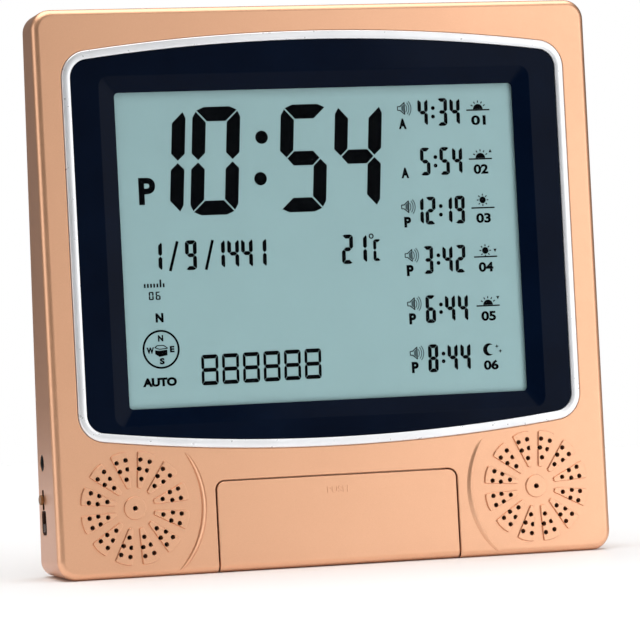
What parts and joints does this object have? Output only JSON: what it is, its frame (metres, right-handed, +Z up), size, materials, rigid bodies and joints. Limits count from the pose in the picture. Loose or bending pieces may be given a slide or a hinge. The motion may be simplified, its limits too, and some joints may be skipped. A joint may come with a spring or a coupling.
{
  "type": "azan clock",
  "caption": "Freestanding wedge-case desk clock with a recessed liquid-crystal display, petal speaker grilles, a push-open key flap and a rear battery bay.",
  "frame": {"origin": "middle of the base, halfway through the depth, on the surface the clock stands on", "axes": "+Z up, +X to the right as the display is read, -Y out of the display face, +Y out of the upright back"},
  "size_m": [0.2148, 0.0285, 0.2046],
  "materials": {
    "case_paint": "satin metallic rose-gold paint",
    "rear_paint": "satin rose-gold paint, darker moulding",
    "bright_ring": "satin bright plating",
    "bezel_black": "gloss blue-black",
    "lens_clear": "clear",
    "lcd": "matt grey-green reflective",
    "diffuser": "white diffuser",
    "elastomer": "matt",
    "circuit_board": "solder mask",
    "component_black": "semi-gloss",
    "component_blue": "sleeved can",
    "key_grey": "matt",
    "screw_steel": "zinc plated",
    "foam": "foam",
    "basket_steel": "pressed steel",
    "cone": "matt film",
    "magnet": "ferrite",
    "contact_pin": "polished",
    "knob_bronze": "satin",
    "knob_dark": "satin",
    "cell_sleeve": "printed sleeve, plain",
    "spring_steel": "nickel plated",
    "pad_rubber": "matt"
  },
  "bodies": {
    "case": {"front_housing": "case_paint", "rear_cover": "rear_paint", "trim_ring": "bright_ring", "display_bezel": "bezel_black", "display_lens": "lens_clear", "lcd_glass": "lcd", "backlight": "diffuser", "contact_strips": "elastomer", "display_board": "circuit_board", "key_board": "circuit_board", "side_board": "circuit_board", "board_chips": "component_black", "key_switches": "component_black", "dc_inlet": "component_black", "mode_switch": "component_black", "level_switch": "component_black", "flap_catch": "component_black", "board_capacitors": "component_blue", "small_screws": "screw_steel", "case_screws": "screw_steel", "speaker_gaskets": "foam", "speaker_baskets": "basket_steel", "speaker_clamps": "basket_steel", "speaker_cones": "cone", "speaker_magnets": "magnet", "dc_pin": "contact_pin", "battery_cells": "cell_sleeve", "battery_spring": "spring_steel", "battery_contacts": "spring_steel", "rubber_pads": "pad_rubber"},
    "flap": {"flap_lid": "case_paint"},
    "battery_lid": {"battery_door": "rear_paint"},
    "mode_slider": {"mode_knob": "knob_bronze"},
    "level_slider": {"level_knob": "knob_dark"},
    "key_1": {"key_1": "key_grey"},
    "key_2": {"key_2": "key_grey"},
    "key_3": {"key_3": "key_grey"},
    "key_4": {"key_4": "key_grey"},
    "key_5": {"key_5": "key_grey"},
    "key_6": {"key_6": "key_grey"}
  },
  "joints": [
    {"name": "flap_hinge", "type": "hinge", "parent": "case", "child": "flap", "pos_m": [0, -0.01085, 0.00291], "axis": [1, 0, 0], "range_deg": [0, 90]},
    {"name": "battery_door_hinge", "type": "hinge", "parent": "case", "child": "battery_lid", "pos_m": [0, 0.01315, 0.03595], "axis": [-1, 0, 0], "range_deg": [0, 100]},
    {"name": "mode_slide", "type": "slide", "parent": "case", "child": "mode_slider", "axis": [0, 0.0657, 0.9978], "range_m": [-0.002, 0.002]},
    {"name": "level_slide", "type": "slide", "parent": "case", "child": "level_slider", "axis": [0, 0.0657, 0.9978], "range_m": [0, 0.004]},
    {"name": "key_1_press", "type": "slide", "parent": "case", "child": "key_1", "axis": [0, 0.9978, -0.0657], "range_m": [0, 0.0008], "stiffness_N_per_m": 900, "springref_m": -0.0006},
    {"name": "key_2_press", "type": "slide", "parent": "case", "child": "key_2", "axis": [0, 0.9978, -0.0657], "range_m": [0, 0.0008], "stiffness_N_per_m": 900, "springref_m": -0.0006},
    {"name": "key_3_press", "type": "slide", "parent": "case", "child": "key_3", "axis": [0, 0.9978, -0.0657], "range_m": [0, 0.0008], "stiffness_N_per_m": 900, "springref_m": -0.0006},
    {"name": "key_4_press", "type": "slide", "parent": "case", "child": "key_4", "axis": [0, 0.9978, -0.0657], "range_m": [0, 0.0008], "stiffness_N_per_m": 900, "springref_m": -0.0006},
    {"name": "key_5_press", "type": "slide", "parent": "case", "child": "key_5", "axis": [0, 0.9978, -0.0657], "range_m": [0, 0.0008], "stiffness_N_per_m": 900, "springref_m": -0.0006},
    {"name": "key_6_press", "type": "slide", "parent": "case", "child": "key_6", "axis": [0, 0.9978, -0.0657], "range_m": [0, 0.0008], "stiffness_N_per_m": 900, "springref_m": -0.0006}
  ]
}
